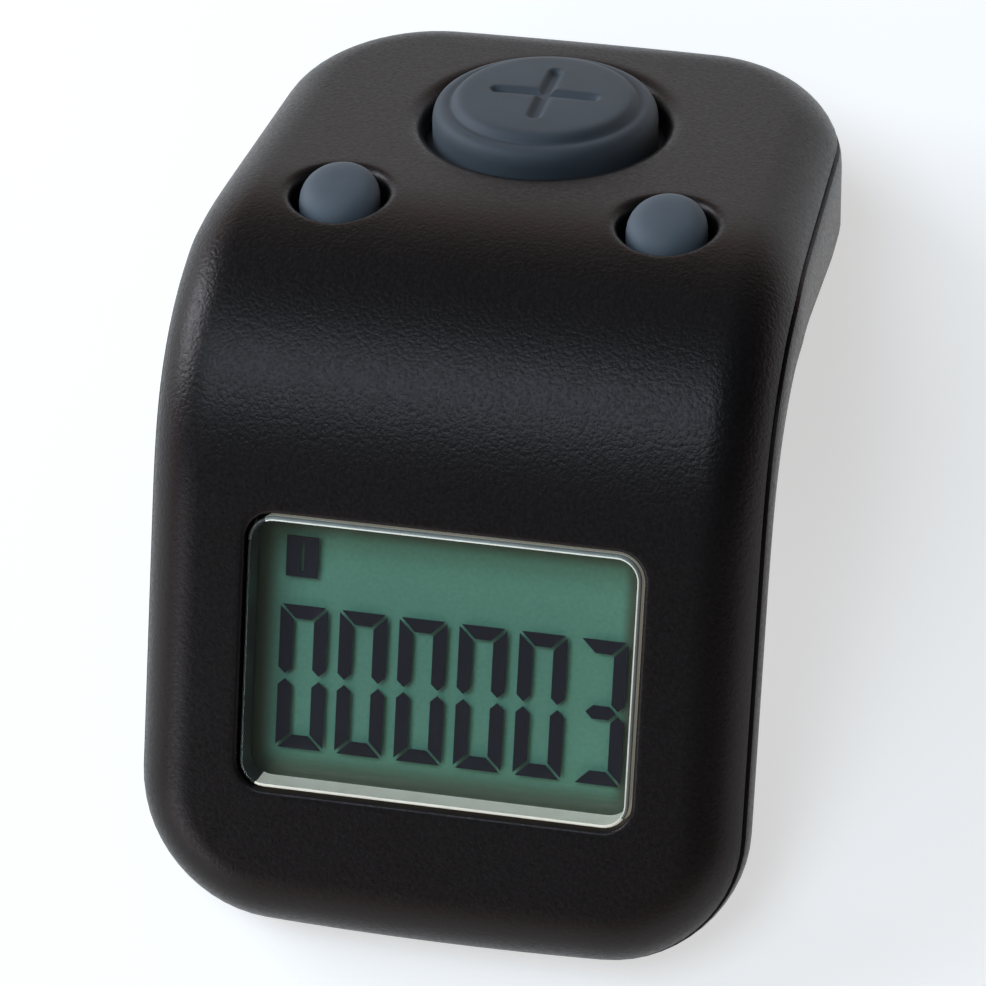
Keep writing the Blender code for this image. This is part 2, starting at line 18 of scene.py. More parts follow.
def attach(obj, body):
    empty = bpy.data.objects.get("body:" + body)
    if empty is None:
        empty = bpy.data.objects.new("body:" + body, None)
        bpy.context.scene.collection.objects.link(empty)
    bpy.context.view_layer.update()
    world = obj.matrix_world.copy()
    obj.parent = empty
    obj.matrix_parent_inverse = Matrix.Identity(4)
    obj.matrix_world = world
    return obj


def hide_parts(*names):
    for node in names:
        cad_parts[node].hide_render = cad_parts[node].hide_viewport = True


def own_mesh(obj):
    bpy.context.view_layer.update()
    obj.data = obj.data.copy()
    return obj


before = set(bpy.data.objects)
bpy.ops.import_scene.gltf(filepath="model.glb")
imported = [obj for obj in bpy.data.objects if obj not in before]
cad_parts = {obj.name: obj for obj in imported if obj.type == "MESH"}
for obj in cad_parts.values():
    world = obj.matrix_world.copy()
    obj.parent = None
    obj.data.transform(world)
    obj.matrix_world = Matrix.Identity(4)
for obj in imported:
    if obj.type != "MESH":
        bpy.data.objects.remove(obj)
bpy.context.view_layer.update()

MM = 0.001
REST_TILT = math.radians(35.97)
REST_SHIFT = Vector((0.0, 6.112, 20.368))

# Case blank and its bend, as in the part's source
BODY_WIDTH = 31.0
REAR_END = -23.8
FRONT_END = 36.7
REAR_CORNER = 8.1
FRONT_CORNER = 6.9
REAR_TAPER = 1.05
REAR_BOW = 0.5
FRONT_BOW = 0.6
BEND_START = -6.1
BEND_FULL = -1.0
BEND_EASE = 10.0
BEND_END = 17.0
BEND_CURVATURE = 0.076
EDGE_RADIUS = 3.2
PARTING_DEPTH = 2.15
PARTING_GAP = 0.3
TOP_WALL = 1.5
RIM_WALL = 1.3
BELLY_WALL = 1.2
BELLY_INSET = 4.2
BELLY_SHOULDER = 1.4
SIDE_DEPTHS = {-13.0: 6.5, 3.0: 4.3, 13.0: 3.5, 17.0: 3.3}
REAR_BELLY = 10.0
LEG_BELLY = 6.8
BELLY_STEP = (-3.5, 13.0)

COUNT_KEY = Vector((0.0, 12.81))
COUNT_KEY_RADIUS = 5.76
COUNT_HOLE_RADIUS = 6.2
COUNT_HOLE_MOUTH = 7.1
SMALL_KEY_X = 8.31
SMALL_KEY_Y = 3.12
SMALL_KEY_RADIUS = 2.03
SMALL_HOLE_RADIUS = 2.44
SMALL_HOLE_MOUTH = 2.98
SMALL_KEY_SLOPE = math.radians(16.5)

DISPLAY_STATION = 22.4
LENS_WIDTH = 19.69
LENS_HEIGHT = 13.94
LENS_CORNER = 1.3
WINDOW_GAP = 0.15
CELL_CENTRE = Vector((0.0, 11.6))
COVER_HOLE_RADIUS = 7.5
COVER_TWIST = math.radians(40.0)
REAR_SCREW = Vector((9.6, 18.6))
LEG_SCREW = Vector((11.4, -8.8))


# ---------------------------------------------------------------- the bent skin

def running_total(values, step):
    return np.concatenate([[0.0], np.cumsum((values[1:] + values[:-1]) / 2) * step])


def skin_table():
    s = np.linspace(REAR_END - 2.0, FRONT_END + 2.0, 2001)
    step = s[1] - s[0]
    bend = [BEND_START, BEND_FULL, BEND_EASE, BEND_END]
    curvature = np.interp(s, bend, [0.0, BEND_CURVATURE, BEND_CURVATURE, 0.0])
    slope = running_total(curvature, step)
    y = -running_total(np.cos(slope), step)
    z = -running_total(np.sin(slope), step)
    return s, slope, y - np.interp(0.0, s, y), z


SKIN_S, SKIN_SLOPE, SKIN_Y, SKIN_Z = skin_table()
LEG_SLOPE = float(np.interp(DISPLAY_STATION, SKIN_S, SKIN_SLOPE))


def bent(x, s, depth):
    """Place a point of the blank on the bent case."""
    slope = np.interp(s, SKIN_S, SKIN_SLOPE)
    y = np.interp(s, SKIN_S, SKIN_Y) + depth * math.sin(slope)
    z = np.interp(s, SKIN_S, SKIN_Z) - depth * math.cos(slope)
    return Vector((x, y, z))


def station(y, depth):
    """The s at which the surface at a depth passes over a given y."""
    rows = SKIN_Y + depth * np.sin(SKIN_SLOPE)
    return float(np.interp(-y, -rows, SKIN_S))


COUNTER = Matrix.Translation(REST_SHIFT) @ Matrix.Rotation(-REST_TILT, 4, "X")
DISPLAY = COUNTER @ Matrix.Translation(bent(0.0, DISPLAY_STATION, 0.0)) @ Matrix.Rotation(LEG_SLOPE, 4, "X")


def smooth_step(value, low, high):
    t = min(max((value - low) / (high - low), 0.0), 1.0)
    return t * t * (3.0 - 2.0 * t)


def side_depth(s):
    return float(np.interp(s, list(SIDE_DEPTHS), list(SIDE_DEPTHS.values())))


def belly_depth(s):
    return REAR_BELLY - (REAR_BELLY - LEG_BELLY) * smooth_step(s, *BELLY_STEP)


def arc(centre, radius, start, end, steps):
    angles = np.radians(np.linspace(start, end, steps + 1))
    return [(centre[0] + radius * math.cos(a), centre[1] + radius * math.sin(a)) for a in angles]


def shape_outline(x, s):
    """Taper the blank towards the rear and bow its two end edges."""
    side = x / (BODY_WIDTH / 2)
    middle = (REAR_END + FRONT_END) / 2
    if s < 0.0:
        x *= 1.0 - REAR_TAPER / (BODY_WIDTH / 2) * s / REAR_END
    if s < middle:
        return x, s - REAR_BOW * (1 - side * side) * ((middle - s) / (middle - REAR_END)) ** 2
    return x, s + FRONT_BOW * (1 - side * side) * ((s - middle) / (FRONT_END - middle)) ** 2


CORNER_STEPS = 14
END_STEPS = 8
SIDE_STEPS = 62


def outline(inset):
    """Blank outline drawn in by an inset, as (x, s) points all the way round."""
    half = BODY_WIDTH / 2 - inset
    rear, front = REAR_END + inset, FRONT_END - inset
    rear_r, front_r = REAR_CORNER - inset, FRONT_CORNER - inset
    rear_flat, front_flat = half - rear_r, half - front_r
    points = [(x, rear) for x in np.linspace(0.0, rear_flat, END_STEPS, endpoint=False)]
    points += arc((rear_flat, rear + rear_r), rear_r, -90, 0, CORNER_STEPS)
    points += [(half, s) for s in np.linspace(rear + rear_r, front - front_r, SIDE_STEPS + 1)[1:-1]]
    points += arc((front_flat, front - front_r), front_r, 0, 90, CORNER_STEPS)
    points += [(x, front) for x in np.linspace(front_flat, 0.0, END_STEPS + 1)[1:]]
    shaped = [shape_outline(x, s) for x, s in points]
    return shaped + [(-x, s) for x, s in reversed(shaped[1:-1])]


def ring(inset, depth):
    """One loop of a shell; depth is a number or a function of s."""
    return [bent(x, s, depth(s) if callable(depth) else depth) for x, s in outline(inset)]


# ---------------------------------------------------------------- mesh building

CAP_BORDER = 0.03
MERGE_DISTANCE = 1e-7
SHARP_ANGLE = 38.0
KEY_SHARP_ANGLE = 50.0


class Form:
    """Points and faces of one piece, in millimetres."""

    def __init__(self):
        self.points, self.faces, self.looks = [], [], []

    def loop(self, points):
        start = len(self.points)
        self.points += [Vector(p) for p in points]
        return list(range(start, len(self.points)))

    def face(self, corners, look=0):
        self.faces.append(tuple(corners))
        self.looks.append(look)

    def bridge(self, lower, upper, look=0):
        for i in range(len(lower)):
            j = (i + 1) % len(lower)
            self.face((lower[i], lower[j], upper[j], upper[i]), look)

    def chain(self, loops):
        for lower, upper in zip(loops, loops[1:]):
            self.bridge(lower, upper)

    def cap(self, loop):
        """Close a loop with a flat border and a fan about its middle."""
        middle = sum((self.points[i] for i in loop), Vector()) / len(loop)
        border = self.loop([self.points[i].lerp(middle, CAP_BORDER) for i in loop])
        self.bridge(loop, border)
        centre = self.loop([middle])[0]
        for i in range(len(border)):
            self.face((border[i], border[(i + 1) % len(border)], centre))

    def fill(self, loops, filler, place):
        """Triangulate between an outer loop and its holes. Each loop is (vertex numbers, flat points)."""
        flat, index, edges = [], [], []
        for numbers, points in loops:
            start, count = len(flat), len(points)
            flat += [tuple(p) for p in points]
            index += numbers
            edges += [(start + i, start + (i + 1) % count) for i in range(count)]
        flat += filler
        index += [None] * len(filler)
        made = delaunay_2d_cdt([Vector(p) for p in flat], edges, [], 0, MERGE_DISTANCE)
        number = []
        for point, origin in zip(made[0], made[3]):
            known = [index[i] for i in origin if index[i] is not None]
            number.append(known[0] if known else self.loop([place(*point)])[0])
        middles = np.array([np.mean([made[0][i] for i in face], axis=0) for face in made[2]])
        keep = inside(loops[0][1], middles)
        for _, points in loops[1:]:
            keep &= ~inside(points, middles)
        for face, kept in zip(made[2], keep):
            if kept:
                self.face([number[i] for i in face])

    def mesh(self, name, matrix, sharp):
        shape = bmesh.new()
        verts = [shape.verts.new((matrix @ p) * MM) for p in self.points]
        for corners, look in zip(self.faces, self.looks):
            face = shape.faces.new([verts[i] for i in corners])
            face.material_index = look
        bmesh.ops.recalc_face_normals(shape, faces=shape.faces)
        mesh = bpy.data.meshes.new(name)
        shape.to_mesh(mesh)
        shape.free()
        mesh.shade_smooth()
        mesh.set_sharp_from_angle(angle=math.radians(sharp))
        return mesh


def inside(polygon, points):
    """Which points lie inside a closed polygon."""
    px, py = points[:, 0], points[:, 1]
    result = np.zeros(len(points), bool)
    for (x0, y0), (x1, y1) in zip(polygon, [*polygon[1:], polygon[0]]):
        if y0 == y1:
            continue
        crosses = ((y0 > py) != (y1 > py)) & (px < (x1 - x0) * (py - y0) / (y1 - y0) + x0)
        result ^= crosses
    return result


def add_piece(name, form, looks, matrix=COUNTER, sharp=SHARP_ANGLE):
    mesh = form.mesh(name, matrix, sharp)
    for look in looks:
        mesh.materials.append(look)
    piece = bpy.data.objects.new(name, mesh)
    bpy.context.scene.collection.objects.link(piece)
    return piece


def place_piece(piece, body, slot, *nodes):
    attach(piece, body)
    if nodes:
        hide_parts(*nodes)


def turned(form, profile, centre, segments, close=True, height=None):
    """Turn a (radius, level) profile about an upright axis; its two ends close on the axis."""
    angles = [math.tau * i / segments for i in range(segments)]
    loops = []
    for radius, level in profile:
        points = [(centre[0] + radius * math.cos(a), centre[1] + radius * math.sin(a), level) for a in angles]
        if height:
            points = [height(*p) for p in points]
        loops.append(form.loop(points))
    form.chain(loops)
    if close:
        form.cap(loops[0])
        form.cap(loops[-1])
    return loops


def rounded_rectangle(width, height, corner, steps, straight):
    """Flat points round a rectangle with rounded corners, centred on the origin."""
    x, y = width / 2 - corner, height / 2 - corner
    points = []
    for centre, start in (((x, y), 0), ((-x, y), 90), ((-x, -y), 180), ((x, -y), 270)):
        corner_points = arc(centre, corner, start, start + 90, steps)
        if points:
            points += [tuple(np.array(points[-1]) + (np.array(corner_points[0]) - points[-1]) * t)
                       for t in np.linspace(0, 1, straight + 1)[1:-1]]
        points += corner_points
    points += [tuple(np.array(points[-1]) + (np.array(points[0]) - points[-1]) * t)
               for t in np.linspace(0, 1, straight + 1)[1:-1]]
    return points


BOX_LEAST_CORNER = 0.05
BOX_CORNER_STEPS = 6


def box_form(size, centre, corner, bevel):
    """A slab with rounded corners and softened top and bottom edges."""
    form = Form()
    loops = []
    x, y, z = centre
    for level, inset in ((-1, bevel), (-1, 0), (1, 0), (1, bevel)):
        flat = rounded_rectangle(size[0] - 2 * inset, size[1] - 2 * inset, max(corner - inset, BOX_LEAST_CORNER),
                                 BOX_CORNER_STEPS, 1)
        level_z = z + level * (size[2] / 2 - (bevel if inset == 0 else 0.0))
        loops.append(form.loop([(x + px, y + py, level_z) for px, py in flat]))
    form.chain(loops)
    form.cap(loops[0])
    form.cap(loops[-1])
    return form


# ---------------------------------------------------------------- materials

def new_look(name, colour, roughness, metallic=0.0):
    look = bpy.data.materials.new(name)
    look.use_nodes = True
    shader = look.node_tree.nodes["Principled BSDF"]
    shader.inputs["Base Color"].default_value = (*colour, 1.0)
    shader.inputs["Roughness"].default_value = roughness
    shader.inputs["Metallic"].default_value = metallic
    return look, shader


def noise(look, scale, detail=3.0, roughness=0.5):
    """A noise texture in the piece's own coordinates; scale is in features per millimetre."""
    tree = look.node_tree
    coordinates = tree.nodes.new("ShaderNodeTexCoord")
    texture = tree.nodes.new("ShaderNodeTexNoise")
    texture.inputs["Scale"].default_value = scale / MM
    texture.inputs["Detail"].default_value = detail
    texture.inputs["Roughness"].default_value = roughness
    tree.links.new(coordinates.outputs["Object"], texture.inputs["Vector"])
    return texture.outputs["Fac"]


def vary_colour(look, shader, factor, low, high):
    tree = look.node_tree
    ramp = tree.nodes.new("ShaderNodeValToRGB")
    ramp.color_ramp.elements[0].position = 0.3
    ramp.color_ramp.elements[1].position = 0.7
    ramp.color_ramp.elements[0].color = (*low, 1.0)
    ramp.color_ramp.elements[1].color = (*high, 1.0)
    tree.links.new(factor, ramp.inputs["Fac"])
    tree.links.new(ramp.outputs["Color"], shader.inputs["Base Color"])


def vary_roughness(look, shader, factor, low, high):
    tree = look.node_tree
    span = tree.nodes.new("ShaderNodeMapRange")
    span.inputs["To Min"].default_value = low
    span.inputs["To Max"].default_value = high
    tree.links.new(factor, span.inputs["Value"])
    tree.links.new(span.outputs["Result"], shader.inputs["Roughness"])


def bump(look, shader, heights, distance, strength=1.0):
    """Raise the surface by a sum of weighted textures; distance is in millimetres."""
    tree = look.node_tree
    total = None
    for factor, weight in heights:
        scaled = tree.nodes.new("ShaderNodeMath")
        scaled.operation = "MULTIPLY"
        scaled.inputs[1].default_value = weight
        tree.links.new(factor, scaled.inputs[0])
        if total is None:
            total = scaled.outputs[0]
        else:
            add = tree.nodes.new("ShaderNodeMath")
            tree.links.new(total, add.inputs[0])
            tree.links.new(scaled.outputs[0], add.inputs[1])
            total = add.outputs[0]
    raised = tree.nodes.new("ShaderNodeBump")
    raised.inputs["Distance"].default_value = distance * MM
    raised.inputs["Strength"].default_value = strength
    tree.links.new(total, raised.inputs["Height"])
    tree.links.new(raised.outputs["Normal"], shader.inputs["Normal"])


# Fades along y of the grain's extra depth: start and end in millimetres, and what is left before the start
GRAIN_FADES = ((9.0, 5.0, 0.0), (-9.0, -4.0, 0.25))


def grain_over_bend(look, grain):
    """The spark texture's extra depth over the bend, faded out towards the keys and down the leg."""
    tree = look.node_tree
    coordinates = tree.nodes.new("ShaderNodeTexCoord")
    split = tree.nodes.new("ShaderNodeSeparateXYZ")
    tree.links.new(coordinates.outputs["Object"], split.inputs["Vector"])
    centred = tree.nodes.new("ShaderNodeMath")
    centred.operation = "SUBTRACT"
    centred.inputs[1].default_value = 0.5
    tree.links.new(grain, centred.inputs[0])
    height = centred.outputs[0]
    for start, end, least in GRAIN_FADES:
        fade = tree.nodes.new("ShaderNodeMapRange")
        fade.inputs["From Min"].default_value = start * MM
        fade.inputs["From Max"].default_value = end * MM
        fade.inputs["To Min"].default_value = least
        tree.links.new(split.outputs["Y"], fade.inputs["Value"])
        product = tree.nodes.new("ShaderNodeMath")
        product.operation = "MULTIPLY"
        tree.links.new(height, product.inputs[0])
        tree.links.new(fade.outputs["Result"], product.inputs[1])
        height = product.outputs[0]
    return height


def make_case_look():
    look, shader = new_look("case_black_plastic", (0.005, 0.005, 0.0055), 0.36)
    shader.inputs["Specular IOR Level"].default_value = 0.25
    shader.inputs["Specular Tint"].default_value = (1.0, 0.82, 0.78, 1.0)
    grain = noise(look, 4.2, 2.0, 0.5)
    cloud = noise(look, 0.12, 2.0)
    vary_colour(look, shader, cloud, (0.0042, 0.0043, 0.0047), (0.0054, 0.0055, 0.006))
    spark = noise(look, 5.2, 1.0)
    vary_roughness(look, shader, spark, 0.2, 0.52)
    fine = noise(look, 9.0, 2.0)
    bump(look, shader, [(grain, 0.75), (fine, 0.35), (grain_over_bend(look, spark), 1.9)], 0.018, 0.8)
    return look


def make_silicone_look(name, colour):
    look, shader = new_look(name, colour, 0.62)
    vary_colour(look, shader, noise(look, 0.5, 3.0), [c * 0.93 for c in colour], [c * 1.07 for c in colour])
    shader.inputs["Specular IOR Level"].default_value = 0.3
    shader.inputs["Sheen Weight"].default_value = 0.05
    shader.inputs["Sheen Roughness"].default_value = 0.5
    bump(look, shader, [(noise(look, 8.0, 3.0), 1.0)], 0.01, 0.6)
    return look


def make_clear_look(name, tint, gloss_roughness, ior):
    """Clear plastic or glass: straight through, with a reflection that follows the angle."""
    look = bpy.data.materials.new(name)
    look.use_nodes = True
    tree = look.node_tree
    tree.nodes.remove(tree.nodes["Principled BSDF"])
    through = tree.nodes.new("ShaderNodeBsdfTransparent")
    through.inputs["Color"].default_value = (*tint, 1.0)
    gloss = tree.nodes.new("ShaderNodeBsdfGlossy")
    gloss.inputs["Roughness"].default_value = gloss_roughness
    fresnel = tree.nodes.new("ShaderNodeFresnel")
    fresnel.inputs["IOR"].default_value = ior
    mix = tree.nodes.new("ShaderNodeMixShader")
    tree.links.new(fresnel.outputs["Fac"], mix.inputs["Fac"])
    tree.links.new(through.outputs["BSDF"], mix.inputs[1])
    tree.links.new(gloss.outputs["BSDF"], mix.inputs[2])
    tree.links.new(mix.outputs["Shader"], tree.nodes["Material Output"].inputs["Surface"])
    return look


# Painted shade along the film's borders, along x and y: low edge, high edge, and how far each one fades inwards
FILM_SHADE_BORDERS = ((-9.9, 8.9, 0.9, 0.7), (-7.3, 5.8, 1.5, 0.8))


def make_film_look():
    """The display's green reflecting film, with painted shade: browner and darker towards its borders."""
    look, shader = new_look("lcd_reflecting_film", (0.28, 0.64, 0.44), 0.5)
    tree = look.node_tree
    vary_colour(look, shader, noise(look, 5.0, 2.0), (0.26, 0.6, 0.41), (0.3, 0.68, 0.47))
    green = shader.inputs["Base Color"].links[0].from_socket
    coordinates = tree.nodes.new("ShaderNodeTexCoord")
    across = DISPLAY.inverted().to_3x3()
    origin = DISPLAY.translation * MM
    total = None
    for axis, (low, high, soft_low, soft_high) in enumerate(FILM_SHADE_BORDERS):
        place = tree.nodes.new("ShaderNodeVectorMath")
        place.operation = "DOT_PRODUCT"
        place.inputs[1].default_value = across[axis] / MM
        offset = tree.nodes.new("ShaderNodeVectorMath")
        offset.operation = "SUBTRACT"
        offset.inputs[1].default_value = origin
        tree.links.new(coordinates.outputs["Object"], offset.inputs[0])
        tree.links.new(offset.outputs["Vector"], place.inputs[0])
        for edge, inner in ((low, low + soft_low), (high, high - soft_high)):
            fade = tree.nodes.new("ShaderNodeMapRange")
            fade.interpolation_type = "SMOOTHSTEP"
            fade.inputs["From Min"].default_value = min(edge, inner)
            fade.inputs["From Max"].default_value = max(edge, inner)
            fade.inputs["To Min"].default_value = 0.0 if edge < inner else 1.0
            fade.inputs["To Max"].default_value = 1.0 if edge < inner else 0.0
            tree.links.new(place.outputs["Value"], fade.inputs["Value"])
            if total is None:
                total = fade.outputs["Result"]
            else:
                both = tree.nodes.new("ShaderNodeMath")
                both.operation = "MULTIPLY"
                tree.links.new(total, both.inputs[0])
                tree.links.new(fade.outputs["Result"], both.inputs[1])
                total = both.outputs[0]
    mix = tree.nodes.new("ShaderNodeMix")
    mix.data_type = "RGBA"
    colours = [socket for socket in mix.inputs if socket.type == "RGBA"]
    # The painted shade's brown, which the film takes at its borders
    colours[0].default_value = (0.17, 0.22, 0.14, 1.0)
    tree.links.new(total, mix.inputs["Factor"])
    tree.links.new(green, colours[1])
    tree.links.new([socket for socket in mix.outputs if socket.type == "RGBA"][0], shader.inputs["Base Color"])
    return look


def plain_look(name, colour, roughness, metallic, grain_scale, grain_depth):
    """A finish with a slight mottle in its colour and a fine surface grain."""
    look, shader = new_look(name, colour, roughness, metallic)
    mottle = noise(look, grain_scale / 4)
    vary_colour(look, shader, mottle, [c * 0.9 for c in colour], [min(c * 1.1, 1.0) for c in colour])
    bump(look, shader, [(noise(look, grain_scale), 1.0)], grain_depth)
    return look


def make_glowing(look, colour, strength):
    """A slight glow in a surface's own colour: on the lens's frosted edge a painted light standing in for the
    light that a clear part gathers and lets out at its edge, and on the floor an even brightness.
    """
    shader = look.node_tree.nodes["Principled BSDF"]
    shader.inputs["Emission Color"].default_value = (*colour, 1.0)
    shader.inputs["Emission Strength"].default_value = strength
    return look


CASE_LOOK = make_case_look()
REFLECTOR_LOOK = make_film_look()
SILICONE_LOOK = make_silicone_look("key_grey_silicone", (0.05, 0.059, 0.07))
# A lighter copy of the key silicone for the small keys: painted light on their domes
DOME_PAINTED_LIGHT_LOOK = make_silicone_look("dome_silicone_painted_light", (0.088, 0.103, 0.12))
LENS_LOOK = make_clear_look("lens_clear", (0.99, 0.995, 0.99), 0.03, 1.45)
# The lens's frosted walls: a cream colour with a painted glow
LENS_GLOWING_EDGE_LOOK = make_glowing(plain_look("lens_frosted_edge_painted_glow", (0.93, 0.91, 0.78), 0.35, 0.0, 4.0, 0.01),
                              (1.0, 0.95, 0.78), 0.13)
# A grey colour on the clear lens's rounded rim: a painted highlight
LENS_RIM_HIGHLIGHT_LOOK = plain_look("lens_rim_painted_highlight", (0.27, 0.28, 0.25), 0.3, 0.0, 4.0, 0.01)
# A near-black colour on the lens's left wall: painted shade
LENS_PAINTED_SHADE_LOOK = plain_look("lens_edge_painted_shade", (0.02, 0.019, 0.018), 0.4, 0.0, 4.0, 0.01)
GLASS_LOOK = make_clear_look("lcd_glass_clear", (0.98, 0.985, 0.98), 0.05, 1.15)
SEGMENT_LOOK = plain_look("lcd_segment_ink", (0.006, 0.007, 0.028), 0.4, 0.0, 4.0, 0.004)
BOARD_LOOK = plain_look("board_green", (0.02, 0.12, 0.05), 0.45, 0.0, 2.0, 0.01)
CARBON_LOOK = plain_look("contact_carbon_black", (0.012, 0.012, 0.012), 0.8, 0.0, 5.0, 0.02)
EPOXY_LOOK = plain_look("chip_epoxy_black", (0.01, 0.01, 0.011), 0.25, 0.0, 1.0, 0.02)
CERAMIC_LOOK = plain_look("chip_ceramic_tan", (0.3, 0.22, 0.15), 0.5, 0.0, 3.0, 0.01)
ZEBRA_LOOK = plain_look("zebra_pink_rubber", (0.45, 0.16, 0.13), 0.7, 0.0, 3.0, 0.01)
FLEX_LOOK = plain_look("flex_amber_film", (0.4, 0.17, 0.03), 0.35, 0.0, 2.0, 0.005)
STEEL_LOOK = plain_look("cell_steel_satin", (0.62, 0.62, 0.6), 0.3, 1.0, 2.0, 0.004)
SPRING_LOOK = plain_look("contact_plated_strip", (0.75, 0.66, 0.45), 0.3, 1.0, 2.0, 0.004)
SCREW_LOOK = plain_look("screw_dark_steel", (0.28, 0.28, 0.29), 0.32, 1.0, 2.5, 0.01)


# ---------------------------------------------------------------- case

SKIN_ROWS = np.concatenate([np.arange(-20.2, -6.0, 1.0), np.arange(-6.0, 18.0, 0.6),
                            np.arange(18.2, 33.3, 1.0)])
SKIN_COLUMNS = np.arange(-12.0, 12.01, 1.0)


def clear_of(loops, gap):
    """The skin's own grid of points, without those within a gap of any of the loops."""
    grid = np.array([(x, s) for s in SKIN_ROWS for x in SKIN_COLUMNS])
    edge = np.array([p for loop in loops for p in loop])
    distance = np.sqrt(((grid[:, None] - edge[None]) ** 2).sum(2)).min(1)
    return [tuple(p) for p in grid[distance > gap]]


HOLE_BORDER = 0.3
FILL_GAP = 0.42


def round_hole(form, centre, wall, mouth, segments):
    """Loops down a round hole: on the skin, over its rounded mouth, and down to the inner surface."""
    angles = [math.tau * i / segments for i in range(segments)]

    def around(radius):
        return [(centre[0] + radius * math.cos(a), centre[1] + radius * math.sin(a)) for a in angles]

    fillet = mouth - wall
    loops = []
    steps = [(mouth + HOLE_BORDER, 0.0)]
    steps += [(wall + fillet * (1 - math.sin(t)), fillet * (1 - math.cos(t)))
              for t in np.radians(np.linspace(0.0, 90.0, 8))]
    for radius, drop in steps:
        points = []
        for x, y in around(radius):
            points.append(bent(x, station(y, 0.0), 0.0) - Vector((0.0, 0.0, drop)))
        loops.append(form.loop(points))
    loops.append(form.loop([bent(x, station(y, TOP_WALL), TOP_WALL) for x, y in around(wall)]))
    form.chain(loops)
    outer = [(x, station(y, 0.0)) for x, y in around(mouth + HOLE_BORDER)]
    inner = [(x, station(y, TOP_WALL)) for x, y in around(wall)]
    return (loops[0], outer), (loops[-1], inner)


WINDOW_BORDER = 0.25


def window_hole(form):
    """Loops down the display window, square to the leg's face."""
    fillet = 0.22

    def around(offset):
        flat = rounded_rectangle(LENS_WIDTH + 2 * (WINDOW_GAP + offset), LENS_HEIGHT + 2 * (WINDOW_GAP + offset),
                                 LENS_CORNER + WINDOW_GAP + offset, 8, 14)
        return [(x, DISPLAY_STATION - y) for x, y in flat]

    steps = [(fillet + WINDOW_BORDER, 0.0)] + [(fillet * (1 - math.sin(t)), fillet * (1 - math.cos(t)))
                                      for t in np.radians(np.linspace(0.0, 90.0, 6))] + [(0.0, TOP_WALL)]
    loops = [form.loop([bent(x, s, depth) for x, s in around(offset)]) for offset, depth in steps]
    form.chain(loops)
    return (loops[0], around(fillet + WINDOW_BORDER)), (loops[-1], around(0.0))


def make_case_top():
    form = Form()
    rim = PARTING_DEPTH - PARTING_GAP / 2
    last = math.acos(1 - (rim - 0.1) / EDGE_RADIUS)
    loops = [form.loop(ring(EDGE_RADIUS * (1 - math.sin(a)), EDGE_RADIUS * (1 - math.cos(a))))
             for a in np.linspace(0.0, last, 13)]
    rim_inset = EDGE_RADIUS * (1 - math.sin(last))
    loops.append(form.loop(ring(rim_inset + 0.02, rim - 0.03)))
    loops.append(form.loop(ring(rim_inset + 0.12, rim)))
    inner_radius = EDGE_RADIUS - TOP_WALL
    for a in np.radians([45.0, 30.0, 15.0, 0.0]):
        loops.append(form.loop(ring(EDGE_RADIUS - inner_radius * math.sin(a),
                                    TOP_WALL + inner_radius * (1 - math.cos(a)))))
    form.chain(loops)
    outer, inner = [(loops[0], outline(EDGE_RADIUS))], [(loops[-1], outline(EDGE_RADIUS))]
    holes = [round_hole(form, COUNT_KEY, COUNT_HOLE_RADIUS, COUNT_HOLE_MOUTH, 96)]
    for x in (SMALL_KEY_X, -SMALL_KEY_X):
        holes.append(round_hole(form, (x, SMALL_KEY_Y), SMALL_HOLE_RADIUS, SMALL_HOLE_MOUTH, 56))
    holes.append(window_hole(form))
    for on_skin, on_inside in holes:
        outer.append(on_skin)
        inner.append(on_inside)
    for loops_here, depth in ((outer, 0.0), (inner, TOP_WALL)):
        filler = clear_of([flat for _, flat in loops_here], FILL_GAP)
        form.fill(loops_here, filler, lambda x, s, depth=depth: bent(x, s, depth))
    piece = add_piece("case_top", form, [CASE_LOOK])
    place_piece(piece, "case", "case_plastic", "upper_shell")


def belly_loops(form, start_inset, shoulder_inset, lift, steps):
    """Loops from the side wall's lower edge round to the flat of the belly."""
    loops = []
    for t in np.linspace(0.0, 1.0, steps + 1):
        inset = (1 - t) ** 2 * start_inset + 2 * t * (1 - t) * shoulder_inset + t * t * BELLY_INSET

        def depth(s, t=t):
            edge = side_depth(s) - lift * 0.25
            belly = belly_depth(s) - lift
            return (1 - t) ** 2 * edge + 2 * t * (1 - t) * (belly - 0.5) + t * t * belly

        loops.append(form.loop(ring(inset, depth)))
    return loops


# A tongue on the lower shell's rim, which closes the parting groove from within
TONGUE_WIDTH = 0.35
TONGUE_CLEARANCE = 0.02


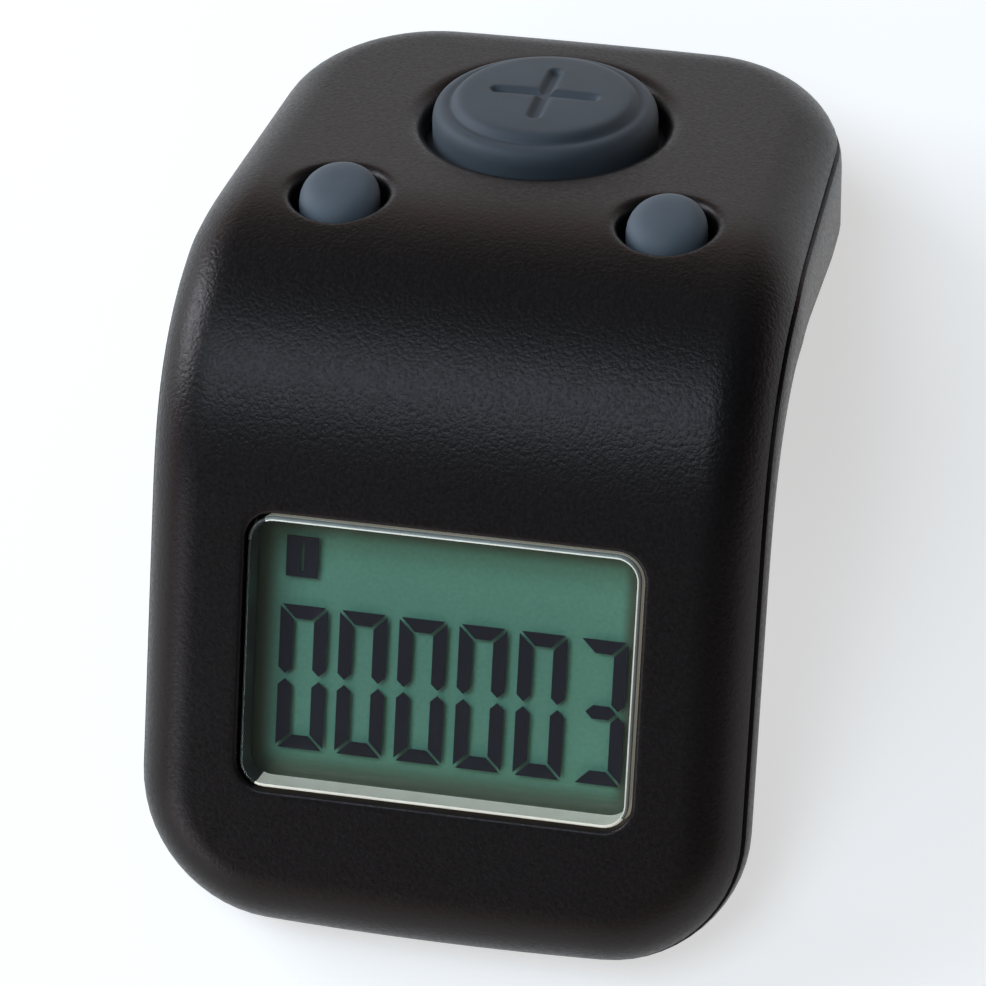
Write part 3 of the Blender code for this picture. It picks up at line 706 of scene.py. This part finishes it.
def make_case_bottom():
    form = Form()
    rim = PARTING_DEPTH + PARTING_GAP / 2
    first = math.acos(1 - (rim + 0.1) / EDGE_RADIUS)
    rim_inset = EDGE_RADIUS * (1 - math.sin(first))
    outside = [form.loop(ring(rim_inset + 0.14, rim)), form.loop(ring(rim_inset + 0.03, rim + 0.03))]
    outside += [form.loop(ring(EDGE_RADIUS * (1 - math.sin(a)), EDGE_RADIUS * (1 - math.cos(a))))
                for a in np.linspace(first, math.pi / 2, 5)]
    outside += belly_loops(form, 0.0, BELLY_SHOULDER, 0.0, 12)
    tongue_top = rim - PARTING_GAP + TONGUE_CLEARANCE
    tongue_outside = RIM_WALL - TONGUE_WIDTH
    inside_loops = [form.loop(ring(inset, depth)) for inset, depth in
                    ((tongue_outside, rim), (tongue_outside, tongue_top), (RIM_WALL, tongue_top), (RIM_WALL, rim))]
    inside_loops += belly_loops(form, RIM_WALL, BELLY_SHOULDER + 1.1, BELLY_WALL, 5)
    form.chain(outside[::-1] + inside_loops)
    flat = outline(BELLY_INSET)
    filler = clear_of([flat], 0.5)
    for loop, lift in ((outside[-1], 0.0), (inside_loops[-1], BELLY_WALL)):
        form.fill([(loop, flat)], filler, lambda x, s, lift=lift: bent(x, s, belly_depth(s) - lift))
    piece = add_piece("case_bottom", form, [CASE_LOOK])
    cut_case_bottom(piece)
    place_piece(piece, "case", "case_plastic", "lower_shell")


TOOL_SEGMENTS = 40


def tool(name, form, matrix=COUNTER):
    return add_piece(name, form, [CASE_LOOK], matrix)


def rod_tool(name, profile, centre, matrix=COUNTER):
    form = Form()
    turned(form, profile, centre, TOOL_SEGMENTS)
    return tool(name, form, matrix)


NOTCH_REACH = 8.6
NOTCH_HALF = 1.8


def notched_opening():
    """The battery opening with its two lug notches, as one tool."""
    form = Form()
    reach, half = NOTCH_REACH, NOTCH_HALF
    edge = math.asin(half / COVER_HOLE_RADIUS)
    loops = []
    for level, grow in ((-12.0, 0.2), (-10.0, 0.2), (-9.8, 0.0), (-8.0, 0.0)):
        points = []
        for turn in (COVER_TWIST, COVER_TWIST + math.pi):
            along, across = Vector((math.cos(turn), math.sin(turn))), Vector((-math.sin(turn), math.cos(turn)))
            for a, b in ((reach, -half), (reach, 0.0), (reach, half)):
                b += math.copysign(grow, b) if b else 0.0
                points.append(CELL_CENTRE + along * (a + grow) + across * b)
            for angle in np.linspace(turn + edge, turn + math.pi - edge, 30):
                radius = COVER_HOLE_RADIUS + grow
                points.append(CELL_CENTRE + Vector((math.cos(angle), math.sin(angle))) * radius)
        loops.append(form.loop([(*p, level) for p in points]))
    form.chain(loops)
    form.cap(loops[0])
    form.cap(loops[-1])
    return tool("battery_opening_tool", form)


def apply_tools(piece, steps):
    """Join or cut solids that may cross, keep the result as the piece's mesh, and drop the tools."""
    for other, operation in steps:
        step = piece.modifiers.new(other.name, "BOOLEAN")
        step.operation = operation
        step.solver = "EXACT"
        step.use_self = True
        step.object = other
    graph = bpy.context.evaluated_depsgraph_get()
    mesh = bpy.data.meshes.new_from_object(piece.evaluated_get(graph), depsgraph=graph)
    piece.modifiers.clear()
    mesh.name = piece.name
    piece.data = mesh
    for other, _ in steps:
        bpy.data.objects.remove(other, do_unlink=True)
    mesh.shade_smooth()
    mesh.set_sharp_from_angle(angle=math.radians(SHARP_ANGLE))


def cut_case_bottom(piece):
    steps = []
    for side in (1, -1):
        rear, leg = (REAR_SCREW.x * side, REAR_SCREW.y), (LEG_SCREW.x * side, LEG_SCREW.y)
        steps.append((rod_tool(f"rear_column_tool_{side}", [(2.2, -9.0), (2.2, -6.0)], rear), "UNION"))
        steps.append((rod_tool(f"leg_column_tool_{side}", [(1.7, -6.1), (1.7, -4.65)], leg, DISPLAY), "UNION"))
        steps.append((rod_tool(f"rear_bore_tool_{side}", [(1.9, -12.0), (1.9, -10.0), (1.7, -9.8), (1.7, -7.4),
                                                          (1.05, -7.4), (1.05, -5.0)], rear), "DIFFERENCE"))
        steps.append((rod_tool(f"leg_bore_tool_{side}", [(1.55, -9.0), (1.55, -5.8), (0.95, -5.8), (0.95, -4.0)],
                               leg, DISPLAY), "DIFFERENCE"))
    steps.append((notched_opening(), "DIFFERENCE"))
    apply_tools(piece, steps)


# ---------------------------------------------------------------- keys

MARK_HALF = 0.29
MARK_REACH = 2.75
MARK_DEPTH = 0.26
MARK_FLOOR_OFFSET = -0.1
MARK_BRIM_OFFSET = 0.18
CROWN_FLAT = 3.6
COUNT_KEY_SEGMENTS = 240


def plus_distance(x, y):
    """Distance from the outline of a plus sign with round ends, negative inside."""
    bars = []
    for along, across in ((abs(x), abs(y)), (abs(y), abs(x))):
        over = max(along - (MARK_REACH - MARK_HALF), 0.0)
        bars.append(math.hypot(over, across) - MARK_HALF)
    return min(bars)


def plus_radius(angle, offset):
    low, high = 0.0, 6.0
    for _ in range(40):
        middle = (low + high) / 2
        if plus_distance(middle * math.cos(angle), middle * math.sin(angle)) < offset:
            low = middle
        else:
            high = middle
    return low


def make_count_key():
    """The large key: a shallow raised disc with a pressed-in plus sign, a stepped rim and a flange."""
    form = Form()
    angles = [math.tau * (i + 0.5) / COUNT_KEY_SEGMENTS for i in range(COUNT_KEY_SEGMENTS)]
    crown = [(0.0, 1.43), (1.5, 1.425), (2.8, 1.405), (4.2, 1.335)]

    def crown_level(radius):
        return float(np.interp(radius, [r for r, _ in crown], [z for _, z in crown]))

    loops = []
    for share in (0.25, 0.55, 0.8):
        loops.append(([plus_radius(a, MARK_FLOOR_OFFSET) * share for a in angles], 1.0))
    for offset, sunk in ((-0.16, 1.0), (-0.1, 0.93), (-0.03, 0.68), (0.04, 0.35), (0.11, 0.1),
                         (MARK_BRIM_OFFSET, 0.0)):
        loops.append(([plus_radius(a, offset) for a in angles], sunk))
    brim = loops[-1][0]
    for share in (0.15, 0.35, 0.6, 1.0):
        loops.append(([r + (CROWN_FLAT - r) * share for r in brim], 0.0))
    rings = []
    for radii, sunk in loops:
        rings.append(form.loop([(COUNT_KEY.x + r * math.cos(a), COUNT_KEY.y + r * math.sin(a),
                                 crown_level(r) - MARK_DEPTH * sunk) for r, a in zip(radii, angles)]))
    profile = [(3.9, 1.355), (4.15, 1.338), (4.32, 1.31), (4.45, 1.26), (4.56, 1.18), (4.64, 1.08), (4.7, 0.98),
               (4.76, 0.9), (4.83, 0.862), (4.92, 0.865), (5.02, 0.885), (5.14, 0.89), (5.27, 0.865), (5.4, 0.81),
               (5.51, 0.73), (5.6, 0.62), (5.67, 0.48), (5.72, 0.32), (5.75, 0.14), (COUNT_KEY_RADIUS, -0.05),
               (COUNT_KEY_RADIUS, -0.8), (COUNT_KEY_RADIUS, -1.8), (6.5, -1.8),
               (6.6, -1.9), (6.6, -2.2), (6.5, -2.3), (3.2, -2.3), (3.2, -2.8), (3.1, -2.9)]
    for radius, level in profile:
        rings.append(form.loop([(COUNT_KEY.x + radius * math.cos(a), COUNT_KEY.y + radius * math.sin(a), level)
                                for a in angles]))
    form.chain(rings)
    form.cap(rings[0])
    form.cap(rings[-1])
    piece = add_piece("count_key", form, [SILICONE_LOOK], sharp=KEY_SHARP_ANGLE)
    place_piece(piece, "count_key", "key_silicone", "count_button")


def make_small_key(name, node, body, x):
    """A small domed key whose top leans with the case's skin."""
    radius = SMALL_KEY_RADIUS
    profile = [(0.3, 0.465), (0.7, 0.44), (1.05, 0.392), (1.32, 0.325), (1.52, 0.24), (1.68, 0.135), (1.81, 0.01),
               (1.91, -0.14), (1.985, -0.33), (radius, -0.58), (radius, -0.95), (radius, -1.5), (radius, -2.4),
               (2.78, -2.4), (2.85, -2.47), (2.85, -2.73), (2.78, -2.8), (1.3, -2.8), (1.3, -3.02), (1.22, -3.1)]

    def lean(px, py, level):
        return px, py, level + (py - SMALL_KEY_Y) * math.tan(SMALL_KEY_SLOPE) * smooth_step(level, -1.5, -0.5)

    form = Form()
    turned(form, profile, (x, SMALL_KEY_Y), 80, height=lean)
    piece = add_piece(name, form, [DOME_PAINTED_LIGHT_LOOK], sharp=KEY_SHARP_ANGLE)
    place_piece(piece, body, "key_silicone", node)


def make_web(name, node, profile, centre):
    """A key's flexing skirt, drawn at rest; on the counter it flattens onto the mat as the key goes down."""
    form = Form()
    loops = turned(form, profile, centre, 72, close=False)
    form.bridge(loops[-1], loops[0])
    piece = add_piece(name, form, [SILICONE_LOOK])
    place_piece(piece, "case", "key_silicone", node)
    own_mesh(piece)


def make_webs():
    make_web("count_key_skirt", "count_button_web",
             [(5.55, -2.6), (5.9, -2.6), (6.35, -2.9), (6.7, -3.5), (6.35, -3.5), (5.95, -2.95)], COUNT_KEY)
    for name, x in (("reset", SMALL_KEY_X), ("channel", -SMALL_KEY_X)):
        make_web(f"{name}_key_skirt", f"{name}_button_web",
                 [(2.35, -3.05), (2.65, -3.05), (2.92, -3.2), (3.1, -3.55), (2.8, -3.55), (2.62, -3.25)],
                 (x, SMALL_KEY_Y))


# ---------------------------------------------------------------- display

FIGURES = "000003"
SEGMENTS_OF = {"0": "abcdef", "3": "abcdg"}
FIGURE_PITCH = 3.045
FIGURE_WIDTH = 2.42
FIGURE_HEIGHT = 7.45
STROKE = 0.68
SEGMENT_GAP = 0.17
SEGMENT_LEVEL = (-3.34, -3.24)
BACKING_TOP = -3.7
FIGURES_MIDDLE = (-0.03, -2.11)

# The small boxed number: left, bottom, width and height; half its clear middle; the height of its end bars
BADGE = (-8.67, 3.1, 1.62, 2.08)
BADGE_HALF_GAP = 0.1
BADGE_BAR = 0.3


def segment_shapes():
    """Flat outlines of the seven segments of one figure, centred on the figure."""
    w, h, t, g = FIGURE_WIDTH / 2, FIGURE_HEIGHT / 2, STROKE, SEGMENT_GAP / 2
    cut_in = g * math.sqrt(2.0)
    tip = t / 2
    shapes = {}
    shapes["a"] = [(-w + cut_in, h), (w - cut_in, h), (w - t - cut_in, h - t), (-w + t + cut_in, h - t)]
    shapes["d"] = [(x, -y) for x, y in shapes["a"]][::-1]
    shapes["b"] = [(w, h - cut_in), (w, tip + cut_in), (w - tip, cut_in + 0.02), (w - t, tip + cut_in),
                   (w - t, h - t - cut_in)]
    shapes["c"] = [(x, -y) for x, y in shapes["b"]][::-1]
    shapes["f"] = [(-x, y) for x, y in shapes["b"]][::-1]
    shapes["e"] = [(-x, -y) for x, y in shapes["b"]]
    shapes["g"] = [(-w + tip + cut_in, 0), (-w + t + cut_in, tip), (w - t - cut_in, tip), (w - tip - cut_in, 0),
                   (w - t - cut_in, -tip), (-w + t + cut_in, -tip)]
    return shapes


def add_prism(form, outline_points):
    low, high = SEGMENT_LEVEL
    bottom = form.loop([(x, y, low) for x, y in outline_points])
    top = form.loop([(x, y, high) for x, y in outline_points])
    form.bridge(bottom, top)
    form.face(bottom)
    form.face(top)


def make_figures():
    """Opaque liquid-crystal segments between the display's two glasses, and the small boxed counter number."""
    form = Form()
    shapes = segment_shapes()
    for place, figure in enumerate(FIGURES):
        x = FIGURES_MIDDLE[0] + (place - (len(FIGURES) - 1) / 2) * FIGURE_PITCH
        for segment in SEGMENTS_OF[figure]:
            add_prism(form, [(x + px, FIGURES_MIDDLE[1] + py) for px, py in shapes[segment]])
    left, bottom, wide, tall = BADGE
    half, bar = BADGE_HALF_GAP, BADGE_BAR
    middle = left + wide / 2
    for x0, x1 in ((left, middle - half), (middle + half, left + wide)):
        add_prism(form, [(x0, bottom), (x1, bottom), (x1, bottom + tall), (x0, bottom + tall)])
    for y0, y1 in ((bottom, bottom + bar), (bottom + tall - bar, bottom + tall)):
        add_prism(form, [(middle - half, y0), (middle + half, y0), (middle + half, y1), (middle - half, y1)])
    piece = add_piece("lcd_figures", form, [SEGMENT_LOOK], DISPLAY)
    place_piece(piece, "case", "lcd_glass", "lcd_rear_glass")


LENS_TOP = -0.05
LENS_ROUND_EDGE = 0.2
LENS_FOOT = -1.75
LENS_FLANGE = (19.6, 15.6, 0.6)
LENS_FLANGE_TOP = -1.8
LENS_FLOOR = -2.1
LENS_GLOSSY_DEPTH = -0.4
# The lens's looks: clear, frosted with a painted glow, painted shade, and a rim with a painted highlight
CLEAR, FROSTED_GLOW, PAINTED_SHADE, PAINTED_RIM_HIGHLIGHT = range(4)


def make_lens():
    """The clear window: polished face, a rounded rim with a painted highlight, frosted side walls with a painted
    glow, and painted shade on the left.
    """
    form = Form()
    levels = []
    for t in np.radians(np.linspace(0.0, 90.0, 6)):
        inset = LENS_ROUND_EDGE * (1 - math.sin(t))
        size = (LENS_WIDTH - 2 * inset, LENS_HEIGHT - 2 * inset, LENS_CORNER - inset)
        levels.append((size, LENS_TOP - LENS_ROUND_EDGE * (1 - math.cos(t))))
    levels.append(((LENS_WIDTH - 0.25, LENS_HEIGHT - 0.3, LENS_CORNER - 0.1), LENS_FOOT))
    levels += [(LENS_FLANGE, LENS_FLANGE_TOP), (LENS_FLANGE, LENS_FLOOR)]
    loops = [form.loop([(x, y, level) for x, y in rounded_rectangle(*size, 8, 6)]) for size, level in levels]
    for lower, upper, look in zip(loops, loops[1:], [PAINTED_RIM_HIGHLIGHT] * 5 + [FROSTED_GLOW] * 3):
        form.bridge(lower, upper, look)
    innermost = len(loops[0])
    lower_edge = LENS_CORNER / 2 - LENS_HEIGHT / 2
    left_edge = LENS_CORNER * 0.6 - LENS_WIDTH / 2
    upper_edge = LENS_HEIGHT / 2 - LENS_CORNER
    # Looks by where the light falls: the rounding's band next to the face and its bottom take the frosted painted
    # glow; on the left everything takes the painted shade, except the rounding near the face below the top corner,
    # which stays clear
    for number, corners in enumerate(form.faces):
        middle = sum((form.points[i] for i in corners), Vector()) / len(corners)
        if form.looks[number] == PAINTED_RIM_HIGHLIGHT and (number < innermost or middle.y < lower_edge):
            form.looks[number] = FROSTED_GLOW
        if middle.x < left_edge:
            glossy = middle.z > LENS_GLOSSY_DEPTH and middle.y < upper_edge
            form.looks[number] = CLEAR if glossy else PAINTED_SHADE
    form.cap(loops[0])
    form.cap(loops[-1])
    looks = {CLEAR: LENS_LOOK, FROSTED_GLOW: LENS_GLOWING_EDGE_LOOK, PAINTED_SHADE: LENS_PAINTED_SHADE_LOOK, PAINTED_RIM_HIGHLIGHT: LENS_RIM_HIGHLIGHT_LOOK}
    piece = add_piece("display_window", form, [looks[number] for number in sorted(looks)], DISPLAY)
    place_piece(piece, "case", "lens_plastic", "display_lens")


CELL_WIDTH = 20.4
CELL_HEIGHT = 15.4
CELL_TOP = -2.49
CELL_SINK = 0.05
FILM_THICKNESS = 0.9


def make_lcd_cell():
    """The two glasses as one clear block round the figures, over the green reflecting film."""
    top, floor = CELL_TOP, BACKING_TOP - CELL_SINK
    form = box_form((CELL_WIDTH, CELL_HEIGHT, top - floor), (0.0, 0.0, (top + floor) / 2), 0.1, 0.03)
    piece = add_piece("lcd_cell", form, [GLASS_LOOK], DISPLAY)
    place_piece(piece, "case", "lcd_glass", "lcd_front_polariser", "lcd_front_glass")
    middle = BACKING_TOP - FILM_THICKNESS / 2
    form = box_form((CELL_WIDTH, CELL_HEIGHT, FILM_THICKNESS), (0.0, 0.0, middle), 0.1, 0.03)
    piece = add_piece("lcd_reflecting_film", form, [REFLECTOR_LOOK], DISPLAY)
    place_piece(piece, "case", "lcd_glass", "lcd_reflector")


# ---------------------------------------------------------------- battery cover

def make_cover():
    profile = [(6.2, -9.05), (6.2, -8.05), (6.25, -8.0), (6.85, -8.0), (6.9, -8.05), (6.9, -9.05), (7.2, -9.05),
               (7.2, -9.8), (7.14, -9.93), (7.0, -10.0), (6.4, -10.0), (6.3, -9.95), (6.2, -9.95), (6.1, -10.0)]
    form = Form()
    turned(form, profile, CELL_CENTRE, 120)
    piece = add_piece("battery_cover_disc", form, [CASE_LOOK])
    steps = []
    for side in (1, -1):
        lug = box_form((1.6, 2.8, 0.55), (7.3 * side, CELL_CENTRE.y, -8.3), 0.2, 0.08)
        steps.append((tool(f"lug_tool_{side}", lug), "UNION"))
    slot = box_form((9.0, 1.4, 1.0), (0.0, CELL_CENTRE.y, -10.0), 0.65, 0.02)
    steps.append((tool("coin_slot_tool", slot), "DIFFERENCE"))
    apply_tools(piece, steps)
    place_piece(piece, "battery_door", "case_plastic", "battery_cover")


# ---------------------------------------------------------------- carried-over CAD nodes

def dress_nodes():
    looks = {
        "keypad_mat": SILICONE_LOOK,
        "count_contact_pill": CARBON_LOOK, "reset_contact_pill": CARBON_LOOK, "channel_contact_pill": CARBON_LOOK,
        "zebra_strip": ZEBRA_LOOK, "display_board": BOARD_LOOK,
        "key_board": BOARD_LOOK, "controller_chip": EPOXY_LOOK, "decoupling_capacitor": CERAMIC_LOOK,
        "oscillator_resistor": CERAMIC_LOOK, "flex_cable": FLEX_LOOK, "battery_cell": STEEL_LOOK,
        "battery_contact_negative": SPRING_LOOK, "battery_contact_positive": SPRING_LOOK,
        "rear_screw_left": SCREW_LOOK, "rear_screw_right": SCREW_LOOK,
        "leg_screw_left": SCREW_LOOK, "leg_screw_right": SCREW_LOOK,
    }
    for name, look in looks.items():
        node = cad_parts[name]
        if not node.material_slots:
            node.data.materials.append(look)
        for slot in node.material_slots:
            slot.material = look


# ---------------------------------------------------------------- studio and camera

CAMERA_AZIMUTH = math.radians(13.698)
CAMERA_ELEVATION = math.radians(30.882)
CAMERA_ROLL = math.radians(-0.855)
CAMERA_TARGET = Vector((0.0, -3.0, -8.0))
CAMERA_DISTANCE = 255.84
CAMERA_OFFSET = (0.856, -4.321)
LENS_LENGTH = 189.86
SENSOR_WIDTH = 36.0
LIGHT_DISTANCE = 0.6
LIGHT_AIM = Vector((0.0, 0.0, 0.01))
FLOOR_HALF = 3000.0
FLOOR_GLOW = 0.58


def camera_axes():
    azimuth, elevation, roll = CAMERA_AZIMUTH, CAMERA_ELEVATION, CAMERA_ROLL
    back = Vector((math.sin(azimuth) * math.cos(elevation), -math.cos(azimuth) * math.cos(elevation),
                   math.sin(elevation)))
    right = Vector((math.cos(azimuth), math.sin(azimuth), 0.0))
    up = back.cross(right)
    rolled_right = right * math.cos(roll) + up * math.sin(roll)
    rolled_up = up * math.cos(roll) - right * math.sin(roll)
    return rolled_right, rolled_up, back


def make_camera():
    right, up, back = camera_axes()
    place = CAMERA_TARGET + right * CAMERA_OFFSET[0] + up * CAMERA_OFFSET[1] + back * CAMERA_DISTANCE
    data = bpy.data.cameras.new("camera")
    data.lens = LENS_LENGTH
    data.sensor_width = SENSOR_WIDTH
    data.clip_start, data.clip_end = 0.01, 20.0
    camera = bpy.data.objects.new("camera", data)
    turn = Matrix((right, up, back)).transposed()
    camera.matrix_world = Matrix.Translation((COUNTER @ place) * MM) @ (COUNTER.to_3x3() @ turn).to_4x4()
    bpy.context.scene.collection.objects.link(camera)
    bpy.context.scene.camera = camera


def area_light(name, direction, size, power, colour):
    """A soft light in a direction from the object, facing it."""
    data = bpy.data.lights.new(name, "AREA")
    data.shape = "RECTANGLE"
    data.size, data.size_y = size
    data.energy = power
    data.color = colour
    light = bpy.data.objects.new(name, data)
    direction = Vector(direction).normalized()
    light.location = direction * LIGHT_DISTANCE + LIGHT_AIM
    light.rotation_euler = direction.to_track_quat("Z", "Y").to_euler()
    bpy.context.scene.collection.objects.link(light)


def make_sky():
    """A dim studio with a warm glow along the horizon, which the sloping key plane mirrors."""
    world = bpy.data.worlds.new("studio")
    bpy.context.scene.world = world
    world.use_nodes = True
    tree = world.node_tree
    coordinates = tree.nodes.new("ShaderNodeTexCoord")
    split = tree.nodes.new("ShaderNodeSeparateXYZ")
    ramp = tree.nodes.new("ShaderNodeValToRGB")
    ramp.color_ramp.elements[0].position = 0.0
    ramp.color_ramp.elements[0].color = (1.0, 0.7, 0.6, 1.0)
    ramp.color_ramp.elements[1].position = 0.45
    ramp.color_ramp.elements[1].color = (0.17, 0.175, 0.18, 1.0)
    tree.links.new(coordinates.outputs["Generated"], split.inputs["Vector"])
    tree.links.new(split.outputs["Z"], ramp.inputs["Fac"])
    tree.links.new(ramp.outputs["Color"], tree.nodes["Background"].inputs["Color"])
    side = tree.nodes.new("ShaderNodeMapRange")
    side.inputs["From Min"].default_value = -0.1
    side.inputs["From Max"].default_value = 0.7
    side.inputs["To Min"].default_value = 1.0
    side.inputs["To Max"].default_value = 0.3
    tree.links.new(split.outputs["X"], side.inputs["Value"])
    tree.links.new(side.outputs["Result"], tree.nodes["Background"].inputs["Strength"])


def make_studio():
    form = Form()
    half = FLOOR_HALF
    form.face(form.loop([(-half, -half, 0.0), (half, -half, 0.0), (half, half, 0.0), (-half, half, 0.0)]))
    floor_look, shader = new_look("floor_pale", (0.58, 0.56, 0.54), 0.8)
    vary_colour(floor_look, shader, noise(floor_look, 0.02), (0.57, 0.55, 0.53), (0.59, 0.57, 0.55))
    shader.inputs["Specular IOR Level"].default_value = 0.1
    make_glowing(floor_look, (1.0, 1.0, 1.0), FLOOR_GLOW)
    floor = add_piece("floor", form, [floor_look], Matrix.Identity(4))
    make_sky()
    area_light("key_light", (-0.87, 0.24, 0.43), (0.36, 0.3), 2.75, (0.86, 1.0, 1.14))
    area_light("overhead_light", (-0.22, -0.13, 0.96), (0.32, 0.3), 1.15, (0.74, 0.98, 1.2))
    area_light("front_light", (-0.62, -0.76, 0.2), (0.3, 0.2), 0.65, (0.82, 0.98, 1.1))
    bpy.context.scene.view_settings.view_transform = "Standard"


make_case_top()
make_case_bottom()
make_count_key()
make_small_key("reset_key", "reset_button", "reset_key", SMALL_KEY_X)
make_small_key("channel_key", "channel_button", "channel_key", -SMALL_KEY_X)
make_webs()
make_figures()
make_lens()
make_lcd_cell()
make_cover()
dress_nodes()
make_camera()
make_studio()
